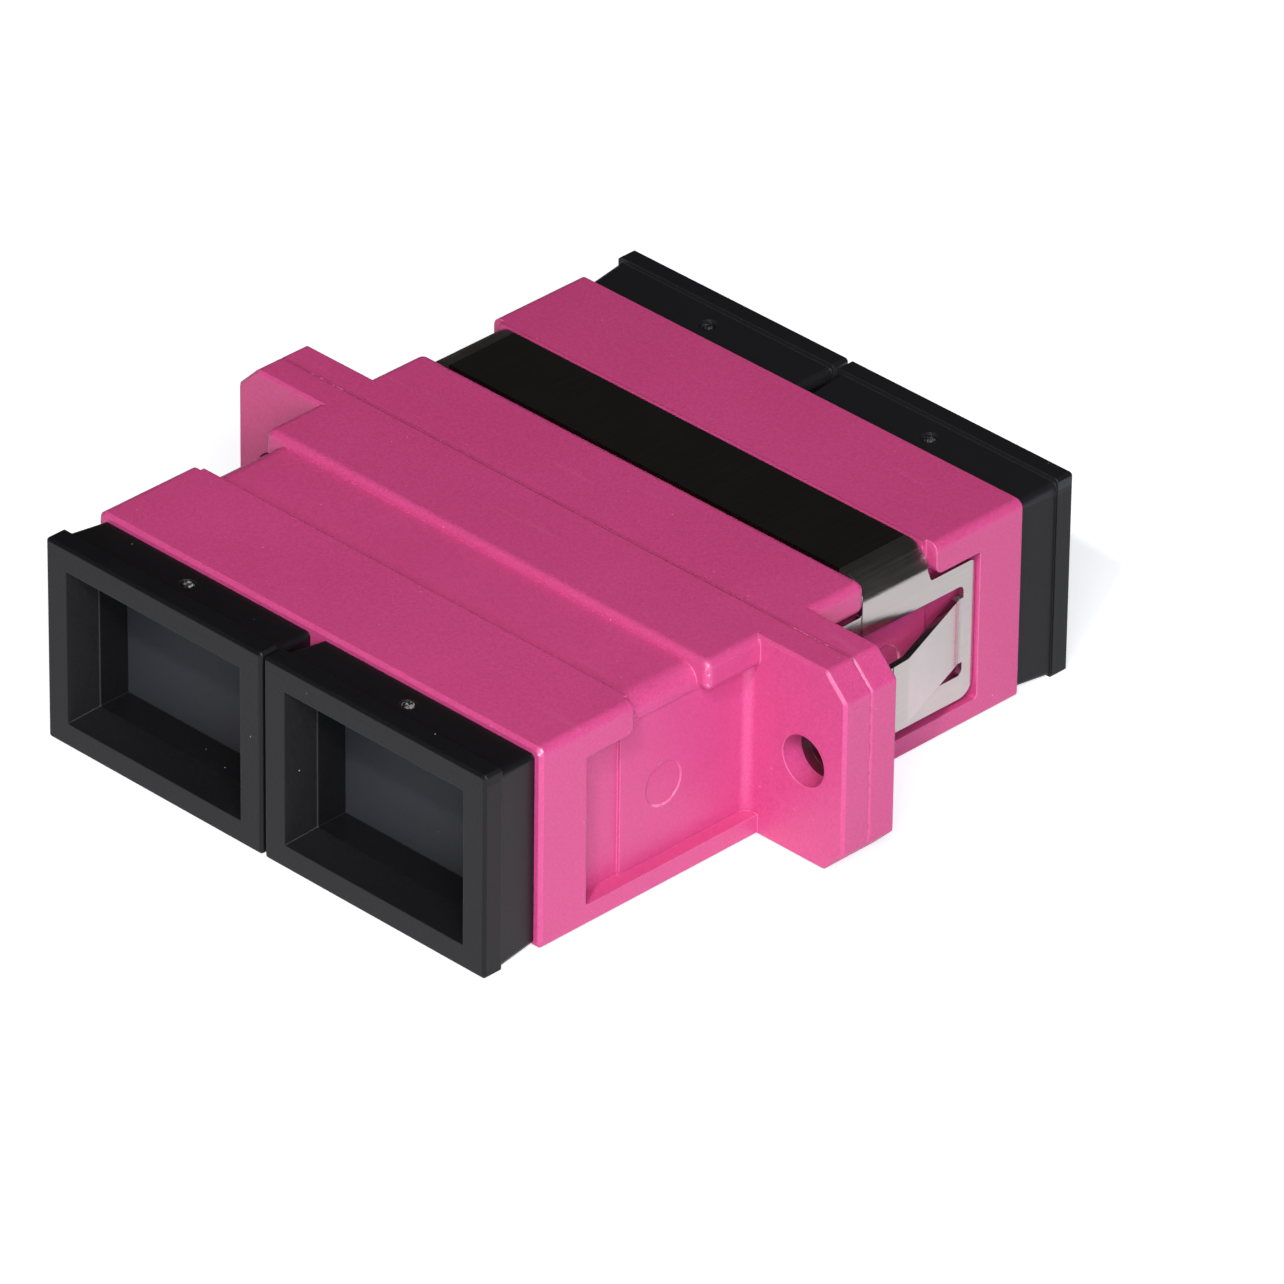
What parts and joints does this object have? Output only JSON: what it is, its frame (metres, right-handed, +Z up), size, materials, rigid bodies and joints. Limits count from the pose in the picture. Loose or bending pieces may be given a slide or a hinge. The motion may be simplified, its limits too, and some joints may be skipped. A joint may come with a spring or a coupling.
{
  "type": "duplex SC fibre adapter",
  "caption": "Duplex SC fibre adapter: magenta moulded housing with a screw flange, a bent steel panel clip with sprung side tabs, and black push-in dust caps.",
  "frame": {"origin": "middle of the flange seam, half way between the ports and between top and bottom", "axes": "X runs across the two ports, Y along the optical axis with the front ports at -Y, Z is up"},
  "size_m": [0.0348, 0.0336, 0.0094],
  "materials": {
    "magenta_plastic": "satin moulded plastic in heather violet, a little lighter where light grazes it",
    "black_plastic": "black moulded plastic with a soft gloss and fine grain",
    "spring_steel": "bright rolled stainless spring sheet, mirror-like",
    "frame_plastic": "natural white moulded engineering plastic",
    "zirconia": "ground white zirconia ceramic"
  },
  "bodies": {
    "housing": {"housing_front_half": "magenta_plastic", "housing_rear_half": "magenta_plastic", "panel_clip": "spring_steel", "latch_frame_front_left": "frame_plastic", "latch_frame_front_right": "frame_plastic", "latch_frame_rear_left": "frame_plastic", "latch_frame_rear_right": "frame_plastic", "alignment_sleeve_left": "zirconia", "alignment_sleeve_right": "zirconia"},
    "cap_front_left": {"dust_cap_front_left": "black_plastic"},
    "cap_front_right": {"dust_cap_front_right": "black_plastic"},
    "cap_rear_left": {"dust_cap_rear_left": "black_plastic"},
    "cap_rear_right": {"dust_cap_rear_right": "black_plastic"}
  },
  "joints": [
    {"name": "cap_front_left_pull", "type": "slide", "parent": "housing", "child": "cap_front_left", "axis": [0, -1, 0], "range_m": [0, 0.008]},
    {"name": "cap_front_right_pull", "type": "slide", "parent": "housing", "child": "cap_front_right", "axis": [0, -1, 0], "range_m": [0, 0.008]},
    {"name": "cap_rear_left_pull", "type": "slide", "parent": "housing", "child": "cap_rear_left", "axis": [0, 1, 0], "range_m": [0, 0.008]},
    {"name": "cap_rear_right_pull", "type": "slide", "parent": "housing", "child": "cap_rear_right", "axis": [0, 1, 0], "range_m": [0, 0.008]}
  ]
}
